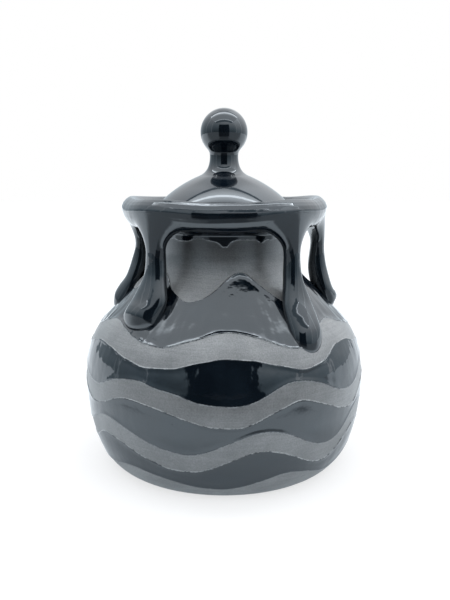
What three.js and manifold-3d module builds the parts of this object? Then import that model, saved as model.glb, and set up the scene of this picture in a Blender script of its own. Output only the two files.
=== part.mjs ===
// Lidded pottery jar: a round-bellied body, a flared collar with a rolled lip, five poured
// drip handles that hang from the lip and run out on the shoulder, and a domed lid with a
// ball knob. Millimetres, +Z up. The origin is on the table, under the jar's axis.
import * as THREE from 'three';
import { mergeVertices } from 'three/addons/utils/BufferGeometryUtils.js';
import Module from 'manifold-3d';

const wasm = await Module();
wasm.setup();

// Body, from the table up
const FOOT_RADIUS = 59;
const FOOT_RING_WIDTH = 13;
const FOOT_RECESS = 2;
const FOOT_CHAMFER = 1.5;
const BELLY_RADIUS = 75;
const BELLY_HEIGHT = 44;
const BELLY_ROUNDNESS = 1.9;
const SHOULDER_RADIUS = 57.2;
const SHOULDER_RISE = 40;
const SHOULDER_SLOPE = 45;
const SHOULDER_CROWN = 24;
const SHOULDER_EASE = 12.4;
const WAIST_RISE = 29;
const WAIST_SWEEP = 22.6;
const WAIST_EASE = 8;
const NECK_RADIUS = 35;
const NECK_HEIGHT = 3;
const BODY_WALL = 5;
const FLOOR_THICKNESS = 5;
const FLOOR_FILLET = 9;

// Collar: flare, rolled lip and the gallery that the lid sits in
const LIP_RISE = 17.6;
const LIP_RADIUS = 4.7;
const LIP_DEPTH = 8.7;
const LIP_RING_RADIUS = 47;
const LIP_INNER_ANGLE = 145;
const FLARE_EASE = 3.5;
const FLARE_LAND = 7;
const LOBE_REACH = 3;
const LOBE_RISE = 1;
const LOBE_SPREAD = 27;
const LOBE_BASE_RISE = 7;
const GALLERY_RISE = 11.8;
const GALLERY_RADIUS = 38.8;
const GALLERY_WALL = 3;
const GALLERY_CHAMFER = 0.8;

// Lid
const SEAT_GAP = 0.3;
const LID_CLEARANCE = 1;
const LID_EDGE = 2.7;
const LID_EDGE_ROUND = 0.8;
const LID_WALL = 4;
const DOME_RISE = 22.6;
const DOME_SIDE_RISE = 5.3;
const DOME_SIDE_LEAN = 1.6;
const DOME_TOP_RADIUS = 13;
const DOME_TOP_SWEEP = 13;
const DOME_TOP_DROP = 5.4;
const KNOB_SEAT_WALL = 5;
const FLANGE_CLEARANCE = 1;
const FLANGE_THICKNESS = 3.5;
const FLANGE_DEPTH = 8.5;
const FLANGE_CHAMFER = 0.9;

// Knob, from the dome up
const KNOB_FOOT_SWEEP = 3.8;
const KNOB_FOOT_RISE = 2.2;
const STEM_RADIUS = 7.4;
const STEM_RISE = 10.1;
const STEM_FOOT_EASE = 5;
const STEM_NECK_EASE = 1.8;
const BALL_RADIUS = 12.2;
const BALL_RISE = 22.2;
const BALL_NECK_ANGLE = -42;
const BALL_NECK_EASE = 1.4;

// Drip handles: widths and depths are half sizes, across the drip and square to it
const GLAZE_GAP = 0.3;
const DRIP_ROOT = 1;
const DRIP_FLARE_WIDTH = 9.5;
const DRIP_FLARE_DEPTH = 3.7;
const DRIP_WEB_WIDTH = 6.6;
const DRIP_WEB_DEPTH = 3.5;
const DRIP_WEB_SHARE = 0.8;
const DRIP_ROOT_ROUND = 0.04;
const DRIP_TIP_ROUND = 0.14;

// the shaft: share of the fall, share of the swelling, depth and how far it bows out
const DRIP_SHAFT = [
  { share: 0.55, swell: 0, depth: 3.3, bow: 0 },
  { share: 0.3, swell: 0.18, depth: 4.2, bow: 0.7 },
];

// the run along the shoulder: share of the run, share of the swelling, depth and lift
const DRIP_RUN = [
  { share: 0.12, swell: 0.95, depth: 5, lift: 3.5 },
  { share: 0.42, swell: 1.1, depth: 4.9, lift: 1.7 },
  { share: 0.72, swell: 1.08, depth: 5, lift: 1.6 },
  { share: 1, swell: 1.03, depth: 5, lift: 1.6 },
];

// rim and foot are azimuths in degrees from the front (-Y), positive towards +X; brow is how
// far the drip stands out past the lip, shaft and reach are radii, stem and bulb half widths
const HANDLES = [
  { name: 'drip_handle_front_left', rim: -42, foot: -45, brow: 0, shaft: 49, stem: 6, reach: 63, bulb: 10.3 },
  { name: 'drip_handle_front_right', rim: 40.7, foot: 37.6, brow: 0, shaft: 50, stem: 4.2, reach: 69.5, bulb: 8.5 },
  { name: 'drip_handle_side_left', rim: -99, foot: -98, brow: -2, shaft: 45.6, stem: 4.6, reach: 62, bulb: 8.2 },
  { name: 'drip_handle_side_right', rim: 96.5, foot: 100, brow: 2.5, shaft: 51.5, stem: 5, reach: 61.5, bulb: 8.8 },
  { name: 'drip_handle_back', rim: 180, foot: 178, brow: 0, shaft: 48.5, stem: 4.4, reach: 64, bulb: 8.4 },
];

// Facets
const ROUND_SEGMENTS = 40;
const KNOB_SEGMENTS = 28;
const CURVE_STEPS = 8;
const DRIP_RINGS = 22;
const DRIP_SIDES = 10;
const BISECTIONS = 40;
const WELD = 1e-4;

// Heights and radii that follow from the sizes above
const shoulderZ = BELLY_HEIGHT + SHOULDER_RISE;
const waistZ = shoulderZ + WAIST_RISE;
const seamZ = waistZ + NECK_HEIGHT;
const lipZ = seamZ + LIP_RISE;
const lobeZ = seamZ + LOBE_BASE_RISE;
const seatZ = seamZ + GALLERY_RISE;
const lidZ = seatZ + SEAT_GAP;
const domeZ = seatZ + DOME_RISE;
const ballZ = domeZ + BALL_RISE;
const boreRadius = NECK_RADIUS - BODY_WALL;
const lidRadius = GALLERY_RADIUS - LID_CLEARANCE;
const flangeRadius = boreRadius - FLANGE_CLEARANCE;
const flangeInner = flangeRadius - FLANGE_THICKNESS;

const { degToRad, radToDeg, lerp, smoothstep, euclideanModulo } = THREE.MathUtils;
const point = (r, z) => new THREE.Vector2(r, z);

// A cubic curve in the (radius, height) plane, as points without its first one.
function bend(from, fromHandle, toHandle, to, steps = CURVE_STEPS) {
  return new THREE.CubicBezierCurve(from, fromHandle, toHandle, to).getPoints(steps).slice(1);
}

// A circular arc from one angle to another, in degrees.
function arc(centre, radius, from, to, steps = CURVE_STEPS) {
  return Array.from({ length: steps + 1 }, (_, i) => {
    const angle = degToRad(lerp(from, to, i / steps));
    return point(centre.x + radius * Math.cos(angle), centre.y + radius * Math.sin(angle));
  });
}

// The direction in which an arc runs at an angle, in degrees.
function arcTangent(angle) {
  return point(-Math.sin(degToRad(angle)), Math.cos(degToRad(angle)));
}

// An open outline moved sideways by a distance, along its own normals, outwards when positive.
function offset(outline, distance) {
  return outline.map((p, i) => {
    const before = outline[Math.max(i - 1, 0)];
    const after = outline[Math.min(i + 1, outline.length - 1)];
    const along = after.clone().sub(before).normalize();
    return point(p.x + along.y * distance, p.y - along.x * distance);
  });
}

// The body's outside from the foot's edge to the seam: a superellipse up to the belly, then
// one convex and one concave curve that meet on the shoulder's straight slope.
function bodyOutline() {
  const power = 2 / BELLY_ROUNDNESS;
  const belly = Array.from({ length: CURVE_STEPS + 1 }, (_, i) => {
    const angle = (i / CURVE_STEPS) * (Math.PI / 2);
    const out = (BELLY_RADIUS - FOOT_RADIUS) * Math.sin(angle) ** power;
    const up = Math.max(Math.cos(angle), 0) ** power;
    return point(FOOT_RADIUS + out, BELLY_HEIGHT * (1 - up));
  });
  const upSlope = point(-Math.cos(degToRad(SHOULDER_SLOPE)), Math.sin(degToRad(SHOULDER_SLOPE)));
  const crown = point(SHOULDER_RADIUS, shoulderZ);
  const waist = point(NECK_RADIUS, waistZ);
  return [
    ...belly,
    ...bend(
      point(BELLY_RADIUS, BELLY_HEIGHT),
      point(BELLY_RADIUS, BELLY_HEIGHT + SHOULDER_CROWN),
      crown.clone().addScaledVector(upSlope, -SHOULDER_EASE),
      crown,
    ),
    ...bend(
      crown,
      crown.clone().addScaledVector(upSlope, WAIST_SWEEP),
      point(NECK_RADIUS, waistZ - WAIST_EASE),
      waist,
    ),
    point(NECK_RADIUS, seamZ),
  ];
}

// The radius of an outline at a height, between its points.
function radiusAt(outline, z) {
  const i = Math.max(outline.findIndex((p) => p.y >= z), 1);
  const low = outline[i - 1];
  const high = outline[i];
  return lerp(low.x, high.x, (z - low.y) / (high.y - low.y));
}

// The height at which the shoulder has a radius.
function shoulderHeight(outline, r) {
  let low = BELLY_HEIGHT;
  let high = waistZ;
  for (let i = 0; i < BISECTIONS; i += 1) {
    const middle = (low + high) / 2;
    if (radiusAt(outline, middle) > r) low = middle;
    else high = middle;
  }
  return low;
}

// A solid of revolution about +Z, from an outline that closes on the axis or on itself.
function turned(outline, segments = ROUND_SEGMENTS) {
  return new THREE.LatheGeometry(outline, segments).rotateX(Math.PI / 2);
}

function bodyProfile() {
  const outside = bodyOutline();
  const floorZ = FOOT_RECESS + FLOOR_THICKNESS;
  const inside = offset(outside.slice(0, -1), -BODY_WALL).filter((p) => p.y > floorZ + FLOOR_FILLET);
  const corner = point(inside[0].x - FLOOR_FILLET, floorZ + FLOOR_FILLET);
  const ringInner = FOOT_RADIUS - FOOT_RING_WIDTH;
  return [
    point(0, FOOT_RECESS),
    point(ringInner - FOOT_CHAMFER, FOOT_RECESS),
    point(ringInner, 0),
    ...outside,
    point(boreRadius, seamZ),
    ...inside.reverse(),
    ...arc(corner, FLOOR_FILLET, 0, -90, CURVE_STEPS / 2),
    point(0, floorZ),
  ];
}

// The collar's outside: a flare from the seam that ends level under the lip, the lip's lower
// outer quarter, which is an ellipse, and its round top, over to its inner side.
function collarOutline() {
  const ring = point(LIP_RING_RADIUS, lipZ);
  const quarter = arc(point(0, 0), 1, -90, 0).map((p) =>
    point(ring.x + LIP_RADIUS * p.x, ring.y + LIP_DEPTH * p.y),
  );
  const seam = point(NECK_RADIUS, seamZ);
  const flare = bend(
    seam,
    point(NECK_RADIUS, seamZ + FLARE_EASE),
    point(quarter[0].x - FLARE_LAND, quarter[0].y),
    quarter[0],
  );
  const top = arc(ring, LIP_RADIUS, 0, LIP_INNER_ANGLE, 1.5 * CURVE_STEPS);
  return [seam, ...flare, ...quarter.slice(1), ...top.slice(1)];
}

function collarProfile() {
  return [
    point(boreRadius, seamZ),
    ...collarOutline(),
    point(GALLERY_RADIUS, seatZ + GALLERY_WALL),
    point(GALLERY_RADIUS, seatZ),
    point(boreRadius + GALLERY_CHAMFER, seatZ),
    point(boreRadius, seatZ - GALLERY_CHAMFER),
    point(boreRadius, seamZ),
  ];
}

// How much of a lobe there is at an azimuth: 1 over a handle, and less between them. Each
// handle takes its own share of what the others leave.
function lobe(azimuth) {
  return 1 - HANDLES.reduce((left, { rim }) => {
    const away = euclideanModulo(azimuth - rim + 180, 360) - 180;
    return left * (1 - Math.exp(-((away / LOBE_SPREAD) ** 2)));
  }, 1);
}

// Pulls the lip out and up over the handles, most at its top. The gallery inside stays round.
function pullLobes(geometry) {
  const places = geometry.attributes.position;
  for (let i = 0; i < places.count; i += 1) {
    const p = new THREE.Vector3().fromBufferAttribute(places, i);
    const r = Math.hypot(p.x, p.y);
    const share = smoothstep(r, GALLERY_RADIUS, LIP_RING_RADIUS) * smoothstep(p.z, lobeZ, lipZ);
    const pull = share * lobe(radToDeg(Math.atan2(p.x, -p.y)));
    const stretch = r > 0 ? (r + LOBE_REACH * pull) / r : 1;
    places.setXYZ(i, p.x * stretch, p.y * stretch, p.z + LOBE_RISE * pull);
  }
  return geometry;
}

// A closed geometry as a solid for cutting.
function solid(geometry) {
  const bare = geometry.clone();
  bare.deleteAttribute('normal');
  bare.deleteAttribute('uv');
  const merged = mergeVertices(bare, WELD);
  const index = Array.from(merged.index.array);
  const triVerts = [];
  for (let i = 0; i < index.length; i += 3) {
    const [a, b, c] = index.slice(i, i + 3);
    if (a !== b && b !== c && c !== a) triVerts.push(a, b, c);
  }
  return new wasm.Manifold(
    new wasm.Mesh({
      numProp: 3,
      vertProperties: Float32Array.from(merged.attributes.position.array),
      triVerts: Uint32Array.from(triVerts),
    }),
  );
}

function geometryOf(manifold) {
  const { vertProperties, triVerts } = manifold.getMesh();
  const geometry = new THREE.BufferGeometry();
  geometry.setAttribute('position', new THREE.BufferAttribute(vertProperties, 3));
  geometry.setIndex(new THREE.BufferAttribute(triVerts, 1));
  geometry.computeVertexNormals();
  return geometry;
}

// What the handles are cut back from: the body and collar, filled, and larger by the gap.
function keepOut() {
  const body = offset(bodyOutline(), GLAZE_GAP);
  const collar = offset(collarOutline(), GLAZE_GAP);
  const bodySolid = solid(turned([point(0, 0), ...body, point(0, seamZ)]));
  const collarSolid = solid(
    pullLobes(turned([point(0, seamZ - GLAZE_GAP), ...collar, point(0, collar.at(-1).y)])),
  );
  return bodySolid.add(collarSolid);
}

// The stations of a drip, from inside the lip down its shaft and out to the tip of its foot on
// the shoulder. Each holds its azimuth, radius, height, half width and half depth.
function dripStations({ rim, foot, brow, shaft, stem, reach, bulb }) {
  const outline = bodyOutline();
  const slope = degToRad(SHOULDER_SLOPE);
  const top = LIP_RING_RADIUS + LOBE_REACH + brow;
  const under = lipZ - LIP_RADIUS;
  const fall = (share) => lerp(shoulderHeight(outline, shaft), under, share);
  const flare = { azimuth: rim, r: top, width: DRIP_FLARE_WIDTH, depth: DRIP_FLARE_DEPTH };
  const web = { width: DRIP_WEB_WIDTH, depth: DRIP_WEB_DEPTH };
  return [
    { ...flare, z: lipZ + DRIP_ROOT },
    { ...flare, z: under },
    { ...web, azimuth: rim, r: lerp(shaft, top, 1 / 3), z: fall(DRIP_WEB_SHARE) },
    ...DRIP_SHAFT.map(({ share, swell, depth, bow }) => ({
      azimuth: rim,
      r: shaft + bow,
      z: fall(share),
      width: lerp(stem, bulb, swell),
      depth,
    })),
    ...DRIP_RUN.map(({ share, swell, depth, lift }) => {
      const r = lerp(shaft, reach, share);
      return {
        azimuth: lerp(rim, foot, share),
        r: r + lift * Math.sin(slope),
        z: shoulderHeight(outline, r) + lift * Math.cos(slope),
        width: lerp(stem, bulb, swell),
        depth,
      };
    }),
  ];
}

// How much of its section a drip has at a share of its run: both ends round off to a point.
function dripEnd(share) {
  const near = Math.min(share / DRIP_ROOT_ROUND, (1 - share) / DRIP_TIP_ROUND, 1);
  return Math.sqrt(1 - (1 - near) ** 2);
}

// The faces of a skin of rings, with a point at each end.
function ringFaces(rings, sides) {
  const last = 1 + rings * sides;
  const faces = [];
  for (let k = 0; k < sides; k += 1) {
    const next = (k + 1) % sides;
    faces.push(0, 1 + k, 1 + next);
    faces.push(last, last - sides + next, last - sides + k);
    for (let i = 0; i < rings - 1; i += 1) {
      const here = 1 + i * sides;
      const there = here + sides;
      faces.push(here + k, there + k, here + next);
      faces.push(here + next, there + k, there + next);
    }
  }
  return faces;
}

// One drip as a closed skin: oval rings along a smooth curve, closer together at its ends.
function dripGeometry(handle) {
  const stations = dripStations(handle);
  const path = new THREE.CatmullRomCurve3(
    stations.map(({ azimuth, r, z }) => {
      const angle = degToRad(azimuth);
      return new THREE.Vector3(r * Math.sin(angle), -r * Math.cos(angle), z);
    }),
  );
  const section = new THREE.CatmullRomCurve3(
    stations.map(({ width, depth }) => new THREE.Vector3(width, depth, 0)),
  );
  const vertices = [...path.getPoint(0)];
  for (let i = 1; i <= DRIP_RINGS; i += 1) {
    const even = i / (DRIP_RINGS + 1);
    const eased = (1 - Math.cos(Math.PI * even)) / 2;
    const t = (even + eased) / 2;
    const centre = path.getPoint(t);
    const size = section.getPoint(t).multiplyScalar(dripEnd(t));
    const outward = new THREE.Vector3(centre.x, centre.y, 0).normalize();
    const across = new THREE.Vector3(-outward.y, outward.x, 0);
    const deep = new THREE.Vector3().crossVectors(across, path.getTangent(t)).normalize();
    for (let k = 0; k < DRIP_SIDES; k += 1) {
      const angle = (2 * Math.PI * k) / DRIP_SIDES;
      const p = centre.clone();
      p.addScaledVector(across, size.x * Math.cos(angle));
      p.addScaledVector(deep, size.y * Math.sin(angle));
      vertices.push(...p);
    }
  }
  vertices.push(...path.getPoint(1));
  const geometry = new THREE.BufferGeometry();
  geometry.setAttribute('position', new THREE.Float32BufferAttribute(vertices, 3));
  geometry.setIndex(ringFaces(DRIP_RINGS, DRIP_SIDES));
  return geometry;
}

// The curve of the lid's dome, from the top of its edge to the knob's seat.
function domeCurve() {
  const edge = point(lidRadius - LID_EDGE_ROUND / 2, lidZ + LID_EDGE);
  return [
    edge,
    ...bend(
      edge,
      point(edge.x - DOME_SIDE_LEAN, edge.y + DOME_SIDE_RISE),
      point(DOME_TOP_RADIUS + DOME_TOP_SWEEP, domeZ - DOME_TOP_DROP),
      point(DOME_TOP_RADIUS, domeZ),
    ),
  ];
}

function lidProfile() {
  const dome = domeCurve();
  const inside = offset(dome, -LID_WALL).filter((p) => p.x > STEM_RADIUS && p.x < flangeInner);
  return [
    point(flangeInner, lidZ),
    point(lidRadius - LID_EDGE_ROUND, lidZ),
    point(lidRadius, lidZ + LID_EDGE_ROUND),
    ...dome,
    point(0, domeZ),
    point(0, domeZ - KNOB_SEAT_WALL),
    ...inside.reverse(),
    point(flangeInner, lidZ),
  ];
}

function flangeProfile() {
  const bottom = lidZ - FLANGE_DEPTH;
  return [
    point(flangeInner, lidZ),
    point(flangeInner, bottom + FLANGE_CHAMFER),
    point(flangeInner + FLANGE_CHAMFER, bottom),
    point(flangeRadius - FLANGE_CHAMFER, bottom),
    point(flangeRadius, bottom + FLANGE_CHAMFER),
    point(flangeRadius, lidZ),
    point(flangeInner, lidZ),
  ];
}

// The knob: a flared foot, a waisted stem and a ball.
function knobProfile() {
  const ball = arc(point(0, ballZ), BALL_RADIUS, BALL_NECK_ANGLE, 90, 2 * CURVE_STEPS).slice(0, -1);
  const foot = point(DOME_TOP_RADIUS, domeZ);
  const waist = point(STEM_RADIUS, domeZ + STEM_RISE);
  return [
    point(0, domeZ),
    foot,
    ...bend(
      foot,
      point(foot.x - KNOB_FOOT_SWEEP, domeZ + KNOB_FOOT_RISE),
      point(STEM_RADIUS, waist.y - STEM_FOOT_EASE),
      waist,
      CURVE_STEPS / 2,
    ),
    ...bend(
      waist,
      point(STEM_RADIUS, waist.y + STEM_NECK_EASE),
      ball[0].clone().addScaledVector(arcTangent(BALL_NECK_ANGLE), -BALL_NECK_EASE),
      ball[0],
      CURVE_STEPS / 2,
    ),
    ...ball.slice(1),
    point(0, ballZ + BALL_RADIUS),
  ];
}

const etched = new THREE.MeshStandardMaterial({ color: 0x4a4f54, roughness: 0.5, metalness: 0 });
const glaze = new THREE.MeshStandardMaterial({ color: 0x14171b, roughness: 0.06, metalness: 0 });

function piece(name, geometry, material) {
  const mesh = new THREE.Mesh(geometry, material);
  mesh.name = name;
  return mesh;
}

const jar = new THREE.Group();
jar.add(piece('jar_body', turned(bodyProfile()), etched));
jar.add(piece('rim_collar', pullLobes(turned(collarProfile())), glaze));

const cutter = keepOut();
for (const handle of HANDLES) {
  const drip = solid(dripGeometry(handle)).subtract(cutter);
  jar.add(piece(handle.name, geometryOf(drip), glaze));
}

const lid = new THREE.Group();
lid.add(piece('lid_dome', turned(lidProfile()), glaze));
lid.add(piece('lid_locating_flange', turned(flangeProfile()), glaze));
lid.add(piece('lid_knob', turned(knobProfile(), KNOB_SEGMENTS), glaze));
jar.add(lid);

export default jar;
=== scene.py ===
import math

import bpy
import numpy as np
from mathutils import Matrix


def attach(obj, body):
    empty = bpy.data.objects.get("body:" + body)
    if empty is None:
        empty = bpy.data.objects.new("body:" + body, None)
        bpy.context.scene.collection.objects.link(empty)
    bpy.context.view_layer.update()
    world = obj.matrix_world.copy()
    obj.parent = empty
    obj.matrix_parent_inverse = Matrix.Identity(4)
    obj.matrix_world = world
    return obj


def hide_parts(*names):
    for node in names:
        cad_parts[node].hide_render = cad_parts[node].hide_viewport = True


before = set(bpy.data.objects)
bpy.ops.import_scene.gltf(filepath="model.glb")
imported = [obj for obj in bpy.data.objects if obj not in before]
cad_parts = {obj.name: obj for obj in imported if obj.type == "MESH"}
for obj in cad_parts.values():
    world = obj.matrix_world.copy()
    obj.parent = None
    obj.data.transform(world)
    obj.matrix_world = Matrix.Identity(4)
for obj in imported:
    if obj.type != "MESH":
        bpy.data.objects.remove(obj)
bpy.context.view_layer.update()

# Shapes are worked out in millimetres and the meshes are in metres. Azimuths start at the front and grow
# towards +X. Values of the finishes, the camera, the floor and the light stand at the head of their
# sections.
MM = 0.001

# Jar body: the same outline as the turned solid
FOOT_RADIUS = 59.0
FOOT_RING_WIDTH = 13.0
FOOT_RECESS = 2.0
FOOT_CHAMFER = 1.5
FOOT_SETBACK = 0.5
FOOT_ROUNDING = 0.6
BELLY_RADIUS = 75.0
BELLY_HEIGHT = 44.0
BELLY_ROUNDNESS = 1.9
SHOULDER_RADIUS = 57.2
SHOULDER_HEIGHT = 84.0
SHOULDER_SLOPE = math.radians(45)
SHOULDER_CROWN = 24.0
SHOULDER_EASE = 12.4
WAIST_HEIGHT = 113.0
WAIST_SWEEP = 22.6
WAIST_EASE = 8.0
NECK_RADIUS = 35.0
SEAM_HEIGHT = 116.0
WALL = 5.0
BORE_RADIUS = NECK_RADIUS - WALL
BOTTOM_HEIGHT = 7.0
BOTTOM_FILLET = 9.0
POLE_RING = 2.0

# At the seam body and collar each run on inside the other's wall: how far inwards, and how far past the seam
BODY_TONGUE = ((0.005, 0.3), (0.3, 1.0), (0.6, 1.0))
COLLAR_TONGUE = ((0.25, 1.2), (0.005, 0.3))
TONGUE_BORE = BORE_RADIUS + 0.1

# Rim collar: flare, rolled lip and the lid's gallery
LIP_HEIGHT = 133.6
LIP_RADIUS = 4.7
LIP_MIDDLE = 132.1
LIP_UPPER = 6.2
LIP_LOWER = 7.2
LIP_SLOPE = (0.9, 2.6)
LIP_RING = 47.0
LIP_OVER = 55.0
LIP_SWAY = 0.25
LIP_LIFT = 0.3
FLARE_BASE = 121.3
FLARE_EASE = 2.0
FLARE_LAND = 8.0
LOBE_REACH = 3.0
LOBE_RISE = 1.5
LOBE_SPREAD = 25.0
LOBE_BASE = 123.0
GALLERY_RADIUS = 38.8
GALLERY_TOP = 130.8
GALLERY_ROUNDING = 0.7
SEAT_HEIGHT = 127.8
SEAT_CHAMFER = 0.8
COLLAR_SETBACK = 0.9

# Lid
LID_BASE = 128.1
LID_RADIUS = 37.8
LID_INNER = 33.0
LID_SIDE = 1.0
EDGE_ROUNDING = 0.9
DOME_EDGE = (37.4, 130.8)
DOME_TOP = (13.0, 150.4)
DOME_SIDE = (-1.6, 5.3)
DOME_CROWN = (13.0, -5.4)
DOME_TUCK = (3.0, 0.25)
DOME_WALL = 4.0
DOME_HOLLOW = 145.4
FLANGE_RADIUS = 29.0
FLANGE_MIDDLE = 27.2
FLANGE_INNER = 25.5
FLANGE_BASE = 119.6
FLANGE_TOP = LID_BASE + 0.2
STEM = (7.4, 160.5)
STEM_SWEEP = 4.2
STEM_EASE = 5.2
STEM_RISE = 1.8
KNOB_SKIRT = (1.2, 0.35)
KNOB_BASE = 1.2
BALL_RADIUS = 12.2
BALL_HEIGHT = 172.6
BALL_NECK = -42.0
BALL_EASE = 1.6

# Drips. Rim and foot are azimuths in degrees at the lip and at the tip, and brow is how much further the
# root stands out. Shaft and reach are radii of the shaft and the tip, stem and bulb half widths of shaft
# and foot. Thick is the shaft's half depth, inner the ankle's depth towards the jar, and web the root's
# half width in degrees.
DRIPS = {
    "drip_handle_front_left": dict(
        rim=-42.0, foot=-45.0, brow=0.0, shaft=49.0, reach=63.0,
        stem=5.3, bulb=10.3, thick=4.4, inner=4.75, web=20.0,
    ),
    "drip_handle_front_right": dict(
        rim=40.7, foot=37.6, brow=0.0, shaft=50.0, reach=69.5,
        stem=3.9, bulb=8.5, thick=4.2, inner=4.65, web=20.0,
    ),
    "drip_handle_side_left": dict(
        rim=-99.0, foot=-98.0, brow=-2.0, shaft=45.6, reach=62.0,
        stem=4.6, bulb=8.2, thick=3.3, inner=4.4, web=20.0,
    ),
    "drip_handle_side_right": dict(
        rim=96.5, foot=100.0, brow=2.5, shaft=51.0, reach=61.5,
        stem=5.0, bulb=8.8, thick=3.9, inner=5.4, web=22.0,
    ),
    "drip_handle_back": dict(
        rim=180.0, foot=178.0, brow=0.0, shaft=48.5, reach=64.0,
        stem=4.4, bulb=8.4, thick=3.3, inner=4.2, web=20.0,
    ),
}
# Half width, outer depth and inner depth of a drip in the lip and at the bend below it
RUN_OVAL = (9.5, 3.7, 3.7)
BEND_OVAL = (6.6, 3.5, 3.5)
RUN_RISE = 1.0
# Heights of bend, shaft and ankle, as shares of the way from the shoulder up to the lip
SHAFT_SHARES = (0.8, 0.55, 0.3)
ANKLE_OUT = 0.7
ANKLE_SWELL = 0.18
ANKLE_DEPTH = 4.6
# Foot: share of the way to the tip, share of the bulb's width and depth, inner depth, and lift off the
# shoulder
FOOT_RUN = (
    (0.12, 0.95, 0.64, 5.0, 2.4),
    (0.42, 1.08, 0.84, 3.2, -0.4),
    (0.72, 1.06, 0.98, 2.0, -2.0),
    (1.0, 1.03, 0.98, 1.8, -2.2),
)
# Shares of the way over which half width, outer depth and inner depth round off at the tip
TIP_SHARES = np.array([0.14, 0.3, 0.14])
# Root: where it ends on the drip's way, its middle on the collar, its reach up and down for the usual web,
# how it leaves the collar and meets the shaft, and the rings and the core that close it inside the lip
ROOT_SHARE = 0.34
ROOT_MIDDLE = (LIP_RING + 2.6, LIP_HEIGHT - 7.3)
ROOT_UP = 6.5
ROOT_DOWN = 6.5
USUAL_WEB = 20.0
ROOT_LEAVE = 0.85
ROOT_LEAVE_BELOW = 0.6
ROOT_LAND = 1.2
ROOT_SKIRT = 1.12
ROOT_BURIED = (0.25, 0.02)
CORE_RADIUS = LIP_RING + 1.0

# Etched and gloss bands: each edge from the foot up has a mean height, wave height, phase and lean
WAVES = 6
BAND_EDGES = (
    (9.5, 3.0, -1.0, 0.1),
    (21.5, 5.6, 0.25, 0.15),
    (31.0, 5.8, 0.2, 0.15),
    (44.5, 4.8, -1.35, 0.15),
    (54.0, 4.5, -1.3, 0.15),
    (67.5, 3.2, 1.4, 0.15),
    (76.8, 3.8, 1.5, 0.15),
    (98.0, 6.6, 0.6, 0.1),
)
BAND_DRIFT = 0.5
BAND_SWELL = 0.22
BAND_WOBBLE = 0.3

# Glaze surface: depths, and the distances from an edge, the heights or the lengths over which they change.
# Waves are the shortest wavelength down the jar and the number of terms.
ETCH_DEPTH = 0.34
ETCH_SLOPE = 0.16
BEAD = 0.2
BEAD_SPAN = (0.45, 2.0)
RIPPLE_DEPTH = 0.48
RIPPLE_SPAN = (0.0, 1.6)
RIPPLE_MEAN = 0.5
BROAD_RIPPLE = 0.35
BROAD_WAVES = (9.0, 26)
SMALL_RIPPLE = 0.15
SMALL_WAVES = (16.0, 40)
RIPPLE_LEAST = 0.12
RIPPLE_STARTS = (60.0, 84.0)
RIPPLE_ENDS = (84.0, 95.0)
FOOT_FADE = 6.0
THROWN_DEPTH = 0.02
THROWN_PERIOD = 2.1
THROWN_STARTS = (126.0, 129.0)
THROWN_PHASES = (1.6, 0.7)
THROWN_SWELL = 0.5

# Poured glaze's edge on the flare: height, scallops, tatters, and tears by azimuth in radians, drop and width
GLAZE_EDGE = 119.6
EDGE_SCALLOP = 0.6
EDGE_TATTER = 0.3
EDGE_SLOPE = 0.2
EDGE_CLEAR = 0.6
GLAZE_TEARS = (
    (0.02, 3.2, 0.07), (0.55, 1.4, 0.06), (1.9, 2.6, 0.08),
    (2.7, 1.8, 0.06), (3.6, 3.0, 0.08), (5.1, 2.2, 0.07),
)

# Slow irregularities of hand work: seed, and most waves round the jar
WANDERS = {
    "lip sway": (5, 9),
    "lip lift": (6, 12),
    "broad ripple": (11, 40),
    "small ripple": (12, 92),
    "edge scallop": (21, 13),
    "edge tatter": (22, 40),
    "band drift": (31, 3),
    "band swell": (32, 4),
    "band wobble": (40, 30),
    "thrown phase": (51, 7),
    "thrown tremor": (52, 24),
    "thrown swell": (53, 11),
}
LONGEST_WAVE = 2.6
WANDER_TERMS = 14
WANDER_SPREAD = 1.8

# Grids: columns round the pieces, spacings along outlines, rows near band edges, rings, and steps of
# curves. The lid's rounded edge takes the place of the first steps of the dome.
BODY_COLUMNS = 512
COLLAR_COLUMNS = 384
DOME_COLUMNS = 256
FLANGE_COLUMNS = 192
KNOB_COLUMNS = 192
DRIP_SIDES = 72
OUTLINE_STEP = 0.25
ROW_STEP = 1.8
HOLLOW_STEP = 4.6
EDGE_ROWS = (-1.6, -0.9, -0.45, -0.22, -0.1, 0.0, 0.1, 0.22, 0.45, 0.9, 1.6)
NECK_RUN = 11.0
NECK_ROWS = 56
FLARE_ROWS = 140
SHAFT_RINGS = 95
ROOT_RINGS = 27
STEPS = dict(
    belly=64, shoulder=48, waist=48, bottom=12, flare=40, lip_under=36, lip_upper=48, lip_over=20,
    dome=72, ball=56, stem=30, ball_foot=12, foot_ring=2, gallery=4, lid_edge=6, flange_edge=5,
)
DOME_EDGE_STEPS = 2
SAME_POINT = 1e-6
LEAST_GAP = 1e-4
CORNER_SHARE = 0.45
SLOPE_STEP = 1e-4
ROOT_STEP = 0.05
FIELD_LIMIT = 3.0
ALL_GLOSS = -2.0


# Curves in the (radius, height) plane

def cubic(start, start_handle, end_handle, end, steps):
    """Cubic curve: the four points weighted by (1-t)^3, 3t(1-t)^2, 3t^2(1-t) and t^3."""
    t = np.linspace(0.0, 1.0, steps + 1)[:, None]
    points = [np.asarray(p, float) for p in (start, start_handle, end_handle, end)]
    weights = ((1 - t) ** 3, 3 * t * (1 - t) ** 2, 3 * t**2 * (1 - t), t**3)
    return sum(w * p for w, p in zip(weights, points))


def arc(centre, radius, start, end, steps):
    """Centre plus radius times (cos a, sin a), with a from start to end in degrees."""
    a = np.radians(np.linspace(start, end, steps + 1))
    return np.stack([centre[0] + radius * np.cos(a), centre[1] + radius * np.sin(a)], 1)


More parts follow.
